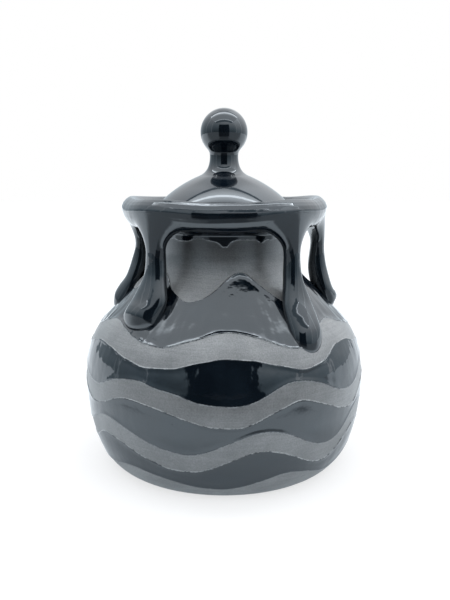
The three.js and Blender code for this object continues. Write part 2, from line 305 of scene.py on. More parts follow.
def chain(*parts):
    """Curves and points one after another, each point once."""
    points = np.concatenate([np.atleast_2d(np.asarray(p, float)) for p in parts])
    apart = np.linalg.norm(np.diff(points, axis=0), axis=1) > SAME_POINT
    return points[np.concatenate([[True], apart])]


def unit(vectors):
    """Vectors divided by their lengths."""
    return vectors / np.linalg.norm(vectors, axis=1)[:, None]


def lengths(outline):
    """Distance along an outline, from its first point to each point."""
    return np.concatenate([[0.0], np.cumsum(np.linalg.norm(np.diff(outline, axis=0), axis=1))])


def read_at(values, at, s):
    """The two columns of values, known at distances at, by straight interpolation at distances s."""
    return np.interp(s, at, values[:, 0]), np.interp(s, at, values[:, 1])


def even(outline, spacing):
    """The outline with points about one spacing apart."""
    at = lengths(outline)
    steps = max(int(round(at[-1] / spacing)), 2)
    return np.stack(read_at(outline, at, np.linspace(0.0, at[-1], steps + 1)), -1)


def sideways(outline):
    """Unit normals of an outline: its direction (dr, dz) turned to (dz, -dr)."""
    step = unit(np.gradient(outline, axis=0))
    return np.stack([step[:, 1], -step[:, 0]], 1)


def softened(points, radius, steps):
    """A polyline whose inner corners are quadratic curves that start one radius before the corner."""
    points = [np.asarray(p, float) for p in points]
    out = [points[0]]
    for before, corner, after in zip(points, points[1:], points[2:]):
        back, on = before - corner, after - corner
        near = min(radius, CORNER_SHARE * np.linalg.norm(back), CORNER_SHARE * np.linalg.norm(on))
        a = corner + back * near / np.linalg.norm(back)
        b = corner + on * near / np.linalg.norm(on)
        t = np.linspace(0.0, 1.0, steps + 1)[:, None]
        out.extend((1 - t) ** 2 * a + 2 * t * (1 - t) * corner + t**2 * b)
    out.append(points[-1])
    return np.array(out)


def smoothstep(x, low, high):
    """0 below low, 1 above high, and 3t^2 - 2t^3 between them."""
    t = np.clip((x - low) / (high - low), 0.0, 1.0)
    return t * t * (3 - 2 * t)


def wander(name, azimuth, s=0.0, period=math.inf, terms=WANDER_TERMS, variant=0):
    """Sum of cosines cos(k a + w s + p) with whole k up to the most waves and wavelengths from the period
    up to LONGEST_WAVE times it, divided by WANDER_SPREAD standard deviations, which gives about -1 to 1."""
    seed, turns = WANDERS[name]
    rng = np.random.default_rng(seed + variant)
    total = np.zeros(np.broadcast(azimuth, s).shape)
    for _ in range(terms):
        k = int(rng.integers(1, turns + 1)) * (1 if rng.random() < 0.5 else -1)
        w = 2 * math.pi / (period * rng.uniform(1.0, LONGEST_WAVE))
        total += np.cos(k * azimuth + w * s + rng.uniform(0, 2 * math.pi))
    return total / (0.5 * terms) ** 0.5 / WANDER_SPREAD


# Meshes from grids of points

def all_round(columns):
    """Azimuths of evenly spaced columns, as one row."""
    return np.linspace(0, 2 * math.pi, columns, endpoint=False)[None, :]


def ring_points(radius, azimuth, height):
    """Points at (r sin a, -r cos a, z), with the azimuth a from the front."""
    return np.stack([radius * np.sin(azimuth), -radius * np.cos(azimuth), height + 0 * radius], -1)


def lathed(outline, azimuth):
    """Rings of a turned surface: each outline point (r, z) becomes the ring (r sin a, -r cos a, z)."""
    return ring_points(outline[:, :1] + 0 * azimuth, azimuth, outline[:, 1:])


def new_object(name, data):
    """An object in the scene, at the origin and unturned."""
    made = bpy.data.objects.new(name, data)
    bpy.context.scene.collection.objects.link(made)
    return made


def smooth_mesh(name, vertices, quads, triangles):
    """A smooth mesh in metres from vertices in millimetres and faces as numbers of vertices."""
    mesh = bpy.data.meshes.new(name)
    mesh.vertices.add(len(vertices))
    mesh.vertices.foreach_set("co", (vertices * MM).astype(np.float32).ravel())
    corners = np.concatenate([quads.ravel(), triangles.ravel()])
    sizes = np.concatenate([np.full(len(quads), 4), np.full(len(triangles), 3)])
    starts = np.concatenate([[0], np.cumsum(sizes)[:-1]])
    mesh.loops.add(len(corners))
    mesh.loops.foreach_set("vertex_index", corners.astype(np.int32))
    mesh.polygons.add(len(sizes))
    mesh.polygons.foreach_set("loop_start", starts.astype(np.int32))
    mesh.polygons.foreach_set("use_smooth", np.ones(len(sizes), bool))
    return mesh


def skin(name, body, material, rings, poles=(None, None), loop=False, fields=None):
    """A closed surface from rings of points (ring, place, xyz): quads join neighbours in both directions,
    each pole closes one end with triangles, and loop joins the last ring to the first. Faces turn so that
    the volume is positive. Fields are attributes with a value for each point of the rings."""
    count, sides, _ = rings.shape
    k = np.arange(sides)
    nxt = (k + 1) % sides
    here = np.arange(count if loop else count - 1)[:, None] * sides
    there = (here + sides) % (count * sides)
    quads = np.stack([here + k, there + k, there + nxt, here + nxt], -1).reshape(-1, 4)
    vertices = rings.reshape(-1, 3)
    triangles = np.zeros((0, 3), int)
    last = (count - 1) * sides
    for pole, first, second in ((poles[0], k, nxt), (poles[1], last + nxt, last + k)):
        if pole is not None:
            fan = np.stack([np.full(sides, len(vertices)), first, second], 1)
            triangles = np.concatenate([triangles, fan])
            vertices = np.concatenate([vertices, [pole]])
    corners = np.concatenate([quads[:, [0, 1, 2]], quads[:, [0, 2, 3]], triangles])
    a, b, c = (vertices[corners[:, i]] for i in range(3))
    if np.einsum("ij,ij->i", a, np.cross(b, c)).sum() < 0:
        quads, triangles = quads[:, ::-1], triangles[:, ::-1]
    mesh = smooth_mesh(name, vertices, quads, triangles)
    for field, values in (fields or {}).items():
        padded = np.concatenate([values.ravel(), np.full(len(vertices) - values.size, values.ravel()[-1])])
        mesh.attributes.new(field, "FLOAT", "POINT").data.foreach_set("value", padded.astype(np.float32))
    mesh.update(calc_edges=True)
    mesh.validate()
    mesh.materials.append(material)
    piece = new_object(name, mesh)
    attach(piece, body)
    return piece


def turned(name, body, material, outline, columns, loop=False):
    """A lathed piece from its outline, which starts and ends on the axis, at the poles, unless it is a
    loop."""
    poles = (None, None)
    if not loop:
        poles = [(0.0, 0.0, height) for height in outline[[0, -1], 1]]
        outline = outline[1:-1]
    return skin(name, body, material, lathed(outline, all_round(columns)), poles, loop)


# Node trees

def fill(tree, sockets, values):
    """Sets sockets by name or number: each value is a number, a colour or a socket to link from."""
    for key, value in values.items():
        if isinstance(value, bpy.types.NodeSocket):
            tree.links.new(value, sockets[key])
        else:
            sockets[key].default_value = value


def add(tree, kind, inputs=None, **settings):
    """A node with its settings and its inputs."""
    made = tree.nodes.new(kind)
    for key, value in settings.items():
        setattr(made, key, value)
    fill(tree, made.inputs, inputs or {})
    return made


def math_node(tree, operation, *values):
    """The result of one Math node."""
    return add(tree, "ShaderNodeMath", dict(enumerate(values)), operation=operation).outputs[0]


def times(tree, first, *others):
    """The product of all values."""
    for other in others:
        first = math_node(tree, "MULTIPLY", first, other)
    return first


def plus(tree, first, *others):
    """The sum of all values."""
    for other in others:
        first = math_node(tree, "ADD", first, other)
    return first


def line(tree, value, slope, start):
    """Slope times value, plus start."""
    return math_node(tree, "MULTIPLY_ADD", value, slope, start)


def ease(tree, value, low, high, start=0.0, end=1.0):
    """A value mapped from low..high to start..end with a smooth step."""
    inputs = {"Value": value, "From Min": low, "From Max": high, "To Min": start, "To Max": end}
    return add(tree, "ShaderNodeMapRange", inputs, interpolation_type="SMOOTHSTEP").outputs["Result"]


def within(tree, value, low, high, soft):
    """1 where the value lies between low and high, and 0 outside, with soft edges."""
    return times(tree, ease(tree, value, low - soft, low + soft), ease(tree, value, high + soft, high - soft))


# A Mix node's two inputs and its output, for each kind of value
MIX_SOCKETS = {"FLOAT": (2, 3, 0), "VECTOR": (4, 5, 1), "RGBA": (6, 7, 2)}


def between(tree, share, a, b, kind="FLOAT"):
    """A number, vector or colour between a and b by share."""
    first, second, result = MIX_SOCKETS[kind]
    return add(tree, "ShaderNodeMix", {0: share, first: a, second: b}, data_type=kind).outputs[result]


def noise(tree, place, scale, detail=2.0, roughness=0.5):
    """Noise of about 0 to 1 at a place."""
    inputs = {"Vector": place, "Scale": scale, "Detail": detail, "Roughness": roughness}
    return add(tree, "ShaderNodeTexNoise", inputs).outputs["Fac"]


def parts_of(tree, vector):
    """The x, y and z of a vector."""
    return add(tree, "ShaderNodeSeparateXYZ", {0: vector}).outputs


def scaled(tree, vector, factor):
    """A vector or colour times a number."""
    return add(tree, "ShaderNodeVectorMath", {0: vector, "Scale": factor}, operation="SCALE").outputs[0]


def object_place(tree):
    """The place on the piece, in metres."""
    return add(tree, "ShaderNodeTexCoord").outputs["Object"]


def bump(tree, height, distance):
    """The normal of a surface with a height that counts a distance in metres."""
    return add(tree, "ShaderNodeBump", {"Height": height, "Distance": distance, "Strength": 1.0}).outputs[0]


def new_group(name, inputs):
    """An empty group for a surface, with its input and output sockets. Inputs are (name, kind, default)."""
    group = bpy.data.node_groups.new(name, "ShaderNodeTree")
    for socket, kind, default in inputs:
        made = group.interface.new_socket(name=socket, in_out="INPUT", socket_type=kind)
        if default is not None:
            made.default_value = default
    for socket, kind in (("Color", COLOR), ("Roughness", FLOAT), ("Height", FLOAT)):
        group.interface.new_socket(name=socket, in_out="OUTPUT", socket_type=kind)
    return group, group.nodes.new("NodeGroupInput").outputs, group.nodes.new("NodeGroupOutput").inputs


# Finishes

# A noise has a scale per metre, detail and roughness. A span is where an effect starts and where it is
# full, and may go on with the values at both. Heights on the jar are in metres.
FLOAT, COLOR, VECTOR = "NodeSocketFloat", "NodeSocketColor", "NodeSocketVector"
GLAZE_DEEP = (0.0022, 0.0045, 0.008, 1)
GLAZE_THIN = (0.005, 0.009, 0.014, 1)
GLAZE_IOR = 1.8
GLAZE_TINT = (0.88, 0.955, 1.0, 1)
SLOW_NOISE = (70.0, 3.0)
MIDDLE_NOISE = (190.0, 2.0)
FINE_NOISE = (620.0, 2.0)
FINE_HEIGHT = 0.02
THIN_SPAN = (0.42, 0.72)
DULL_SPAN = (0.35, 0.75)
DULLING = 0.03
PINHOLE_CELLS = 130.0
PINHOLE_SIZE = (0.05, 0.02)
PINHOLE_CHANCE = (0.86, 0.9)
PINHOLE_DULLING = 0.3
PINHOLE_DEPTH = 0.5
RUN_CIRCLE = 0.22
RUN_NOISE = (62.0, 0.6, 0.5)
ETCHED_TONE = (0.224, 0.222, 0.22, 1)
ETCHED_SATIN = 0.3
STREAK_SCALES = (45.0, 45.0, 1200.0)
STREAK_NOISE = (1.0, 3.0, 0.6)
STREAK_HEIGHT = 0.6
STREAK_SHADE = (0.5, 0.25)
SAND_NOISE = (1500.0, 1.5, 0.7)
SAND_ROUGHNESS = 0.12
CLOUD_NOISE = (55.0, 4.0, 0.6)
CLOUD_SHADE = (0.25, 0.75, 0.8, 1.18)
# Painted shade: the etched colour darkens up the neck, under the flare that shades it
NECK_PAINTED_SHADE = (0.097, 0.118, 1.0, 0.3)
# Painted light: the etched colour is lighter up the shoulder, which faces the light from above, and darker
# towards the foot
HEIGHT_PAINTED_LIGHT = (0.045, 0.085, 0.76, 1.1)
FRAY_NOISE = (900.0, 2.0, 0.6)
FRAY = 0.9
MATTE_SPAN = (-0.1, 0.1)
RUNS_START = (0.05, 0.08)
RUNS_END = (0.096, 0.084)
RUNS_BY_ZONE = (1.5, 0.5)
RIPPLE_BY_ZONE = (0.1, 0.25)
# Painted highlight: a broken pale rim along the etched edges, where the raised glaze edge catches the light
RIM_NOISE = (260.0, 2.0)
RIM_BREAKS = (0.35, 0.6)
RIM_OFFSET = 0.05
RIM_SPAN = (0.3, 0.1)
RIM_SHARE = 0.7
RIM_PAINTED_HIGHLIGHT = (0.36, 0.37, 0.37, 1)
BAND_GLAZE_HEIGHT = 0.0003
ETCHED_HEIGHT = 0.00009


def glaze_skin_group():
    """Thick gloss glaze: deep and thin places in its colour, slight dulling, and in its height a slow
    wobble, runs down the pot and rare pinholes."""
    group, given, out = new_group("Glaze Skin", [
        ("Place", VECTOR, None), ("Deep", COLOR, GLAZE_DEEP), ("Thin", COLOR, GLAZE_THIN),
        ("Gloss", FLOAT, 0.05), ("Ripple", FLOAT, 0.3), ("Runs", FLOAT, 0.0),
    ])
    place = given["Place"]
    slow, middle, fine = (noise(group, place, *values) for values in (SLOW_NOISE, MIDDLE_NOISE, FINE_NOISE))
    cells = {"Vector": place, "Scale": PINHOLE_CELLS, "Randomness": 1.0}
    cells = add(group, "ShaderNodeTexVoronoi", cells).outputs
    chance = add(group, "ShaderNodeSeparateColor", {0: cells["Color"]}).outputs[0]
    pinhole = ease(group, cells["Distance"], *PINHOLE_SIZE)
    pinhole = times(group, pinhole, ease(group, chance, *PINHOLE_CHANCE))
    dull = times(group, ease(group, middle, *DULL_SPAN), DULLING)
    x, y, z = parts_of(group, place)
    level = add(group, "ShaderNodeCombineXYZ", {0: x, 1: y}).outputs[0]
    heading = add(group, "ShaderNodeVectorMath", {0: level}, operation="NORMALIZE").outputs[0]
    down = add(group, "ShaderNodeCombineXYZ", {2: z}).outputs[0]
    wrapped = {0: scaled(group, heading, RUN_CIRCLE), 1: down}
    runs = noise(group, add(group, "ShaderNodeVectorMath", wrapped, operation="ADD").outputs[0], *RUN_NOISE)
    fill(group, out, {
        "Color": between(group, ease(group, slow, *THIN_SPAN), given["Deep"], given["Thin"], "RGBA"),
        "Roughness": plus(group, given["Gloss"], dull, times(group, pinhole, PINHOLE_DULLING)),
        "Height": plus(
            group, slow, times(group, middle, given["Ripple"]), times(group, runs, given["Runs"]),
            times(group, fine, FINE_HEIGHT), times(group, pinhole, -PINHOLE_DEPTH),
        ),
    })
    return group


def etched_grain_group():
    """Blasted satin glaze: fine level streaks from the wheel, a sandy speckle and a few darker stains.
    Painted light makes it lighter up the shoulder and darker towards the foot, and painted shade makes it
    darkest up the neck under the flare."""
    group, given, out = new_group("Etched Grain", [
        ("Place", VECTOR, None), ("Tone", COLOR, ETCHED_TONE), ("Satin", FLOAT, ETCHED_SATIN),
    ])
    place = given["Place"]
    level = add(group, "ShaderNodeMapping", {"Vector": place, "Scale": STREAK_SCALES}).outputs[0]
    streak = noise(group, level, *STREAK_NOISE)
    sand = noise(group, place, *SAND_NOISE)
    cloud = noise(group, place, *CLOUD_NOISE)
    height = parts_of(group, place)[2]
    # Besides streaks, sand and stains, the shade carries painted light and painted shade by height
    shade = times(
        group, plus(group, line(group, streak, *STREAK_SHADE), sand), ease(group, cloud, *CLOUD_SHADE),
        ease(group, height, *NECK_PAINTED_SHADE), ease(group, height, *HEIGHT_PAINTED_LIGHT),
    )
    fill(group, out, {
        "Color": scaled(group, given["Tone"], shade),
        "Roughness": line(group, sand, SAND_ROUGHNESS, given["Satin"]),
        "Height": line(group, streak, STREAK_HEIGHT, sand),
    })
    return group


def new_material(name):
    """A material without nodes, and its tree."""
    material = bpy.data.materials.new(name)
    material.use_nodes = True
    material.node_tree.nodes.clear()
    return material, material.node_tree


def finish_material(tree, color, roughness, normal):
    """The glaze's shader and the material's output."""
    shader = add(tree, "ShaderNodeBsdfPrincipled", {
        "Base Color": color, "Roughness": roughness, "Normal": normal,
        "IOR": GLAZE_IOR, "Specular Tint": GLAZE_TINT,
    })
    add(tree, "ShaderNodeOutputMaterial", {"Surface": shader.outputs[0]})


def gloss_material(name, gloss, ripple, wobble):
    """Blue-black gloss glaze, with its roughness, the share of fine ripples and the height of its wobble."""
    material, tree = new_material(name)
    inputs = {"Place": object_place(tree), "Gloss": gloss, "Ripple": ripple}
    glaze = add(tree, "ShaderNodeGroup", inputs, node_tree=glaze_skin).outputs
    finish_material(tree, glaze["Color"], glaze["Roughness"], bump(tree, glaze["Height"], wobble))
    return material


def banded_material(name):
    """Gloss glaze with etched fields where the piece's own distance to the edge, in millimetres, is
    positive. The edge is frayed by a noise, a broken painted highlight lies along it as a pale rim, and the
    glaze has runs on the shoulder."""
    material, tree = new_material(name)
    place = object_place(tree)
    height = parts_of(tree, place)[2]
    zone = times(tree, ease(tree, height, *RUNS_START), ease(tree, height, *RUNS_END))
    runs, ripple = line(tree, zone, *RUNS_BY_ZONE), line(tree, zone, *RIPPLE_BY_ZONE)
    inputs = {"Place": place, "Runs": runs, "Ripple": ripple}
    glaze = add(tree, "ShaderNodeGroup", inputs, node_tree=glaze_skin).outputs
    grain = add(tree, "ShaderNodeGroup", {"Place": place}, node_tree=etched_grain).outputs
    edge = add(tree, "ShaderNodeAttribute", attribute_name="etched").outputs["Fac"]
    frayed = line(tree, noise(tree, place, *FRAY_NOISE), FRAY, plus(tree, edge, -FRAY / 2))
    matte = ease(tree, frayed, *MATTE_SPAN)
    # The rim is a painted highlight mixed into the colour along the edge
    apart = math_node(tree, "ABSOLUTE", plus(tree, frayed, RIM_OFFSET))
    broken = ease(tree, noise(tree, place, *RIM_NOISE), *RIM_BREAKS)
    rim = times(tree, ease(tree, apart, *RIM_SPAN), broken, RIM_SHARE)
    color = between(tree, matte, glaze["Color"], grain["Color"], "RGBA")
    color = between(tree, rim, color, RIM_PAINTED_HIGHLIGHT, "RGBA")
    roughness = between(tree, matte, glaze["Roughness"], grain["Roughness"])
    glossy = bump(tree, glaze["Height"], BAND_GLAZE_HEIGHT)
    sandy = bump(tree, grain["Height"], ETCHED_HEIGHT)
    finish_material(tree, color, roughness, between(tree, matte, glossy, sandy, "VECTOR"))
    return material


# Camera, as the photograph was taken

# Metres, and a lens in millimetres. On a sensor 36 high, a lens of 39 is a focal length of 650 pixels in
# a picture of 600.
CAMERA_PLACE = (0.0005, -0.3479, 0.1522)
CAMERA_PITCH = math.radians(11.12)
CAMERA_LENS = 39.0
CAMERA_SENSOR = 36.0
CAMERA_NEAREST = 0.01


def build_camera():
    """The camera and the plain view transform."""
    lens = bpy.data.cameras.new("camera")
    lens.sensor_fit = "VERTICAL"
    lens.sensor_height = CAMERA_SENSOR
    lens.lens = CAMERA_LENS
    lens.clip_start = CAMERA_NEAREST
    camera = new_object("camera", lens)
    camera.location = CAMERA_PLACE
    camera.rotation_euler = (math.pi / 2 - CAMERA_PITCH, 0.0, 0.0)
    bpy.context.scene.camera = camera
    bpy.context.scene.view_settings.view_transform = "Standard"


# Jar body

def body_outline():
    """Outside of the body: a superellipse from the foot to the belly, then a convex and a concave cubic to
    the seam."""
    a = np.linspace(0, math.pi / 2, STEPS["belly"] + 1)
    power = 2 / BELLY_ROUNDNESS
    belly = np.stack([
        FOOT_RADIUS + (BELLY_RADIUS - FOOT_RADIUS) * np.sin(a) ** power,
        BELLY_HEIGHT * (1 - np.maximum(np.cos(a), 0) ** power),
    ], 1)
    slope = np.array([-math.cos(SHOULDER_SLOPE), math.sin(SHOULDER_SLOPE)])
    widest = np.array([BELLY_RADIUS, BELLY_HEIGHT])
    crown = np.array([SHOULDER_RADIUS, SHOULDER_HEIGHT])
    neck = np.array([NECK_RADIUS, WAIST_HEIGHT])
    shoulder = cubic(
        widest, widest + [0.0, SHOULDER_CROWN], crown - SHOULDER_EASE * slope, crown, STEPS["shoulder"],
    )
    waist = cubic(crown, crown + WAIST_SWEEP * slope, neck - [0.0, WAIST_EASE], neck, STEPS["waist"])
    return chain(belly, shoulder, waist, (NECK_RADIUS, SEAM_HEIGHT))


def band_heights(azimuth):
    """Height of each band edge: mean + wave sin(u + lean sin u) with u = WAVES a + phase. Phase and wave
    height drift slowly round the pot, and a slight wobble is added."""
    drift = BAND_DRIFT * wander("band drift", azimuth)
    swell = 1 + BAND_SWELL * wander("band swell", azimuth)
    rows = []
    for i, (mean, wave, phase, lean) in enumerate(BAND_EDGES):
        u = WAVES * azimuth + phase + drift
        wobble = BAND_WOBBLE * wander("band wobble", azimuth, variant=i)
        rows.append(mean + swell * wave * np.sin(u + lean * np.sin(u)) + wobble)
    return np.concatenate(rows)


def band_rows(edges, lean, total):
    """Distances up the outline (row, column): rows along each band edge at EDGE_ROWS, measured square to
    it, and even rows about ROW_STEP apart between them."""
    rows = [0 * edges[0]]
    groups = [[edge + off * slope for off in EDGE_ROWS] for edge, slope in zip(edges, lean)]
    for group in groups + [[rows[0] + total]]:
        low, high = rows[-1], group[0]
        steps = max(int(round((high - low).mean() / ROW_STEP)), 1)
        rows.extend(low + (high - low) * j / steps for j in range(1, steps))
        rows.extend(group)
    return np.stack(rows)


def band_field(s, edges, lean):
    """Distance to the nearest band edge, square to it, positive in the etched bands. The first band is
    etched, and each edge passed turns the sign."""
    off = (s - edges[:, None]) / lean[:, None]
    passed = (off >= 0).sum(0)
    return np.abs(off).min(0) * (1 - 2 * (passed % 2))


def body_drop(azimuth, s, height, etched):
    """How far the surface lies inside the outline. Etched fields lie ETCH_DEPTH lower than the glaze, which
    has a bead along its edges and, mostly on the shoulder, broad and small ripples."""
    ripple = RIPPLE_MEAN + BROAD_RIPPLE * np.clip(wander("broad ripple", azimuth, s, *BROAD_WAVES), -1, 1)
    ripple = ripple + SMALL_RIPPLE * np.clip(wander("small ripple", azimuth, s, *SMALL_WAVES), -1, 1)
    zone = smoothstep(height, *RIPPLE_STARTS) * (1 - smoothstep(height, *RIPPLE_ENDS))
    zone = RIPPLE_LEAST + (1 - RIPPLE_LEAST) * zone
    drop = ETCH_DEPTH * smoothstep(etched, -ETCH_SLOPE, ETCH_SLOPE)
    drop = drop + BEAD * smoothstep(-etched, *BEAD_SPAN)
    drop = drop + RIPPLE_DEPTH * zone * smoothstep(-etched, *RIPPLE_SPAN) * ripple
    return drop * smoothstep(s, 0.0, FOOT_FADE)


def body_hollow(outline):
    """From the top of the outside over the seam's tongue, down the bore one wall inside the outline, and
    round a fillet to the bottom."""
    inside = outline[:-1] - WALL * sideways(outline)[:-1]
    inside = inside[inside[:, 1] > BOTTOM_HEIGHT + BOTTOM_FILLET]
    corner = (inside[0, 0] - BOTTOM_FILLET, BOTTOM_HEIGHT + BOTTOM_FILLET)
    brim = NECK_RADIUS - ETCH_DEPTH
    tongue = [(brim - inwards, SEAM_HEIGHT + past) for inwards, past in BODY_TONGUE]
    bore = even(chain(
        tongue[-1], (TONGUE_BORE, tongue[-1][1]), (BORE_RADIUS, SEAM_HEIGHT), inside[::-1],
        arc(corner, BOTTOM_FILLET, 0, -90, STEPS["bottom"]), (POLE_RING, BOTTOM_HEIGHT),
    ), HOLLOW_STEP)
    return np.concatenate([tongue[:-1], bore])


def build_body(material):
    """The body as rings: under the foot, up the outside in rows that follow the band edges, and down the
    hollow."""
    outline = even(body_outline(), OUTLINE_STEP)
    at = lengths(outline)
    azimuth = all_round(BODY_COLUMNS)
    edges = np.interp(band_heights(azimuth), outline[:, 1], at)
    width = 2 * math.pi / BODY_COLUMNS * np.interp(edges, at, outline[:, 0])
    rise = np.gradient(np.concatenate([edges[:, -1:], edges, edges[:, :1]], 1), axis=1)[:, 1:-1]
    lean = np.sqrt(1 + (rise / width) ** 2)
    s = band_rows(edges, lean, at[-1])
    etched = band_field(s, edges, lean)
    radius, height = read_at(outline, at, s)
    out_r, out_z = read_at(sideways(outline), at, s)
    drop = body_drop(azimuth, s, height, etched)
    outer = ring_points(radius - out_r * drop, azimuth, height - out_z * drop)
    ring_inner = FOOT_RADIUS - FOOT_RING_WIDTH
    under = softened([
        (POLE_RING, FOOT_RECESS), (ring_inner - FOOT_CHAMFER, FOOT_RECESS), (ring_inner, 0.0),
        (FOOT_RADIUS - FOOT_SETBACK, 0.0),
    ], FOOT_ROUNDING, STEPS["foot_ring"])
    hollow = body_hollow(outline)
    rings = np.concatenate([lathed(under, azimuth), outer, lathed(hollow, azimuth)])
    gloss = np.full((1, BODY_COLUMNS), ALL_GLOSS)
    etched = np.clip(etched, -FIELD_LIMIT, FIELD_LIMIT)
    fields = {"etched": np.concatenate([gloss.repeat(len(under), 0), etched, gloss.repeat(len(hollow), 0)])}
    poles = [(0.0, 0.0, FOOT_RECESS), (0.0, 0.0, BOTTOM_HEIGHT)]
    body = skin("jar_body_glazed", "jar", material, rings, poles, fields=fields)
    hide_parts("jar_body")


# Rim collar

def collar_outline():
    """Outside of the collar from the seam: upright, then a cubic flare that ends level under the lip, the
    lip's outer half of a quarter ellipse and a cubic that slopes gently at its top, and a circle from its
    top over to the inner side."""
    under = arc((0.0, 0.0), 1.0, 270, 360, STEPS["lip_under"])
    under = under * [LIP_RADIUS, LIP_LOWER] + [LIP_RING, LIP_MIDDLE]
    side = np.array([LIP_RING + LIP_RADIUS, LIP_MIDDLE])
    crown = np.array([LIP_RING, LIP_MIDDLE + LIP_UPPER])
    upper = cubic(
        side, side + [0.0, LIP_UPPER - LIP_SLOPE[1]], crown + [LIP_SLOPE[0], 0.0], crown, STEPS["lip_upper"],
    )
    over = arc((LIP_RING, LIP_HEIGHT), LIP_RADIUS, 90.0, 90.0 + LIP_OVER, STEPS["lip_over"])
    turn = np.array([NECK_RADIUS, FLARE_BASE])
    flare = cubic(turn, turn + [0.0, FLARE_EASE], under[0] - [FLARE_LAND, 0.0], under[0], STEPS["flare"])
    return chain((NECK_RADIUS, SEAM_HEIGHT), flare, under, upper, over)


def pulled(radius, azimuth, height):
    """The lip moved outwards and up over the drips, most at its top, and by a slight wander. Each drip
    leaves out a share exp(-(away / spread)^2) of what the others leave, and the lobe is the rest."""
    left = np.ones(np.broadcast(radius, azimuth).shape)
    for drip in DRIPS.values():
        away = (np.degrees(azimuth) - drip["rim"] + 180) % 360 - 180
        left = left * (1 - np.exp(-((away / LOBE_SPREAD) ** 2)))
    lobe = 1 - left
    share = smoothstep(radius, GALLERY_RADIUS, LIP_RING) * smoothstep(height, LOBE_BASE, LIP_HEIGHT)
    out = LOBE_REACH * lobe + LIP_SWAY * wander("lip sway", azimuth)
    up = LOBE_RISE * lobe + LIP_LIFT * wander("lip lift", azimuth)
    return radius + share * out, height + share * up


def collar_place(outline, azimuth, s):
    """A point on the collar's pulled outside, by azimuth and distance along its outline."""
    radius, height = read_at(outline, lengths(outline), s)
    radius, height = pulled(radius, azimuth, height)
    return ring_points(radius, azimuth, height)


def glaze_edge(azimuth):
    """Height of the poured glaze's lower edge on the flare: slow scallops with a few longer tears, each as
    drop exp(-(away / width)^2)."""
    edge = GLAZE_EDGE + EDGE_SCALLOP * wander("edge scallop", azimuth)
    edge = edge + EDGE_TATTER * wander("edge tatter", azimuth)
    for place, drop, width in GLAZE_TEARS:
        away = (azimuth - place + math.pi) % (2 * math.pi) - math.pi
        edge = edge - drop * np.exp(-((away / width) ** 2))
    return np.maximum(edge, SEAM_HEIGHT + EDGE_CLEAR)


def collar_drop(azimuth, s, height, etched):
    """How far the surface lies inside the outline: etched neck as on the body, and on the lip fine throwing
    lines, strength (1 - cos(2 pi s / period + phase)), whose phase and strength drift round the rim."""
    phases = (wander("thrown phase", azimuth), wander("thrown tremor", azimuth))
    phase = THROWN_PHASES[0] * phases[0] + THROWN_PHASES[1] * phases[1]
    strength = THROWN_DEPTH * (1 + THROWN_SWELL * wander("thrown swell", azimuth))
    lines = 1 - np.cos(2 * math.pi * s / THROWN_PERIOD + phase)
    drop = ETCH_DEPTH * smoothstep(etched, -EDGE_SLOPE, EDGE_SLOPE)
    return drop + strength * lines * smoothstep(height, *THROWN_STARTS)


def build_collar(material):
    """The collar as rings: its tongue inside the body, up the outside and over the lip, and down the
    gallery and the bore. Below the poured glaze's edge it is etched like the neck."""
    outside = collar_outline()
    azimuth = all_round(COLLAR_COLUMNS)
    at = lengths(outside)
    low = np.linspace(0.0, NECK_RUN, NECK_ROWS)
    rest = np.linspace(NECK_RUN, at[-1], FLARE_ROWS)[1:]
    s = np.concatenate([low, rest])[:, None] + 0 * azimuth
    radius, height = read_at(outside, at, s)
    out_r, out_z = read_at(sideways(outside), at, s)
    etched = np.clip(glaze_edge(azimuth) - height, -FIELD_LIMIT, FIELD_LIMIT)
    drop = collar_drop(azimuth, s, height, etched)
    radius, height = pulled(radius - out_r * drop, azimuth, height - out_z * drop)
    tongue = [
        ring_points(radius[:1] - inwards, azimuth, height[:1] - past) for inwards, past in COLLAR_TONGUE
    ]
    inner = softened([
        outside[-1], (GALLERY_RADIUS, GALLERY_TOP), (GALLERY_RADIUS, SEAT_HEIGHT),
        (BORE_RADIUS + SEAT_CHAMFER, SEAT_HEIGHT), (BORE_RADIUS, SEAT_HEIGHT - SEAT_CHAMFER),
        (BORE_RADIUS, SEAM_HEIGHT), (NECK_RADIUS - COLLAR_SETBACK, SEAM_HEIGHT),
    ], GALLERY_ROUNDING, STEPS["gallery"])[1:]
    in_r, in_z = pulled(inner[:, :1] + 0 * azimuth, azimuth, inner[:, 1:] + 0 * azimuth)
    rings = np.concatenate([*tongue, ring_points(radius, azimuth, height), ring_points(in_r, azimuth, in_z)])
    start = etched[:1].repeat(len(tongue), 0)
    fields = {"etched": np.concatenate([start, etched, np.full(in_r.shape, ALL_GLOSS)])}
    collar = skin("rim_collar_glazed", "jar", material, rings, loop=True, fields=fields)
    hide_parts("rim_collar")


# Drips

def smooth_path(points, t):
    """Smooth curve through the points at shares t. Each span is a cubic whose end slopes come from the
    points beside it, with distances to the power 1/2."""
    points = np.concatenate([[2 * points[0] - points[1]], points, [2 * points[-1] - points[-2]]])
    spans = len(points) - 3
    i = np.minimum((t * spans).astype(int), spans - 1)
    w = (t * spans - i)[:, None]
    p0, p1, p2, p3 = (points[i + j] for j in range(4))
    gaps = (np.linalg.norm(b - a, axis=1)[:, None] for a, b in ((p0, p1), (p1, p2), (p2, p3)))
    d0, d1, d2 = (np.maximum(gap**0.5, LEAST_GAP) for gap in gaps)
    m1 = ((p1 - p0) / d0 - (p2 - p0) / (d0 + d1) + (p2 - p1) / d1) * d1
    m2 = ((p2 - p1) / d1 - (p3 - p1) / (d1 + d2) + (p3 - p2) / d2) * d1
    return p1 + m1 * w + (3 * (p2 - p1) - 2 * m1 - m2) * w**2 + (2 * (p1 - p2) + m1 + m2) * w**3


def shoulder_height(outline, radius):
    """Height of the body's outside above the belly at a radius."""
    above = outline[outline[:, 1] >= BELLY_HEIGHT]
    return np.interp(-radius, -above[:, 0], above[:, 1])


